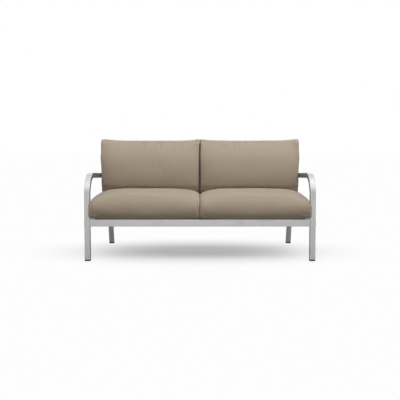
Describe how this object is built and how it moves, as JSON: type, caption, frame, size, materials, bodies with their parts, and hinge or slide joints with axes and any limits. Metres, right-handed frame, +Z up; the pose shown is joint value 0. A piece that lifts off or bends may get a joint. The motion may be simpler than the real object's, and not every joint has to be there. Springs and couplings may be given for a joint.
{
  "type": "patio loveseat",
  "caption": "Patio loveseat with a bent flat-tube aluminium frame, sloping arms, raked rear legs, and loose crowned seat and back cushions.",
  "frame": {"origin": "on the ground, in the middle of the overall width and of the overall depth", "axes": "+X to the right of someone who faces the loveseat, +Y from the front to the back, +Z up"},
  "size_m": [1.5264, 0.7505, 0.8061],
  "materials": {
    "frame_aluminium": "satin silver-grey coated flat tube",
    "insert_aluminium": "plain machined",
    "dark_plastic": "matte moulded",
    "steel_fasteners": "zinc plated",
    "cushion_fabric": "taupe woven outdoor fabric",
    "cushion_filling": "foam and fibre filling",
    "zip": "coil zip on woven tape"
  },
  "bodies": {
    "frame": {"arm_bolts": "steel_fasteners", "arm_nuts": "steel_fasteners", "arm_washers": "steel_fasteners", "back_center_stile": "frame_aluminium", "back_lower_rail": "frame_aluminium", "back_slat_1": "frame_aluminium", "back_slat_2": "frame_aluminium", "back_slat_3": "frame_aluminium", "back_slat_4": "frame_aluminium", "back_top_rail": "frame_aluminium", "center_brace": "frame_aluminium", "front_rail": "frame_aluminium", "front_rail_bolts": "steel_fasteners", "hole_caps": "dark_plastic", "left_arm": "frame_aluminium", "left_arm_end_cap": "dark_plastic", "left_arm_spacer": "dark_plastic", "left_front_glide": "dark_plastic", "left_post_top_cap": "dark_plastic", "left_rail_insert": "insert_aluminium", "left_rear_glide": "dark_plastic", "left_rear_post": "frame_aluminium", "left_side_rail": "frame_aluminium", "rear_rail": "frame_aluminium", "right_arm": "frame_aluminium", "right_arm_end_cap": "dark_plastic", "right_arm_spacer": "dark_plastic", "right_front_glide": "dark_plastic", "right_post_top_cap": "dark_plastic", "right_rail_insert": "insert_aluminium", "right_rear_glide": "dark_plastic", "right_rear_post": "frame_aluminium", "right_side_rail": "frame_aluminium", "seat_slat_1": "frame_aluminium", "seat_slat_2": "frame_aluminium", "seat_slat_3": "frame_aluminium", "seat_slat_4": "frame_aluminium", "seat_slat_5": "frame_aluminium", "seat_slat_6": "frame_aluminium"},
    "left_seat_cushion": {"left_seat_cushion_cover": "cushion_fabric", "left_seat_cushion_core": "cushion_filling", "left_seat_cushion_zip": "zip"},
    "left_back_cushion": {"left_back_cushion_cover": "cushion_fabric", "left_back_cushion_core": "cushion_filling", "left_back_cushion_zip": "zip"},
    "right_seat_cushion": {"right_seat_cushion_cover": "cushion_fabric", "right_seat_cushion_core": "cushion_filling", "right_seat_cushion_zip": "zip"},
    "right_back_cushion": {"right_back_cushion_cover": "cushion_fabric", "right_back_cushion_core": "cushion_filling", "right_back_cushion_zip": "zip"}
  },
  "joints": [
    {"name": "left_seat_cushion_lift", "type": "slide", "parent": "frame", "child": "left_seat_cushion", "axis": [0, 0, 1], "range_m": [0, 0.32]},
    {"name": "left_back_cushion_lift", "type": "slide", "parent": "left_seat_cushion", "child": "left_back_cushion", "axis": [0, 0, 1], "range_m": [0, 0.2]},
    {"name": "right_seat_cushion_lift", "type": "slide", "parent": "frame", "child": "right_seat_cushion", "axis": [0, 0, 1], "range_m": [0, 0.32]},
    {"name": "right_back_cushion_lift", "type": "slide", "parent": "right_seat_cushion", "child": "right_back_cushion", "axis": [0, 0, 1], "range_m": [0, 0.2]}
  ]
}
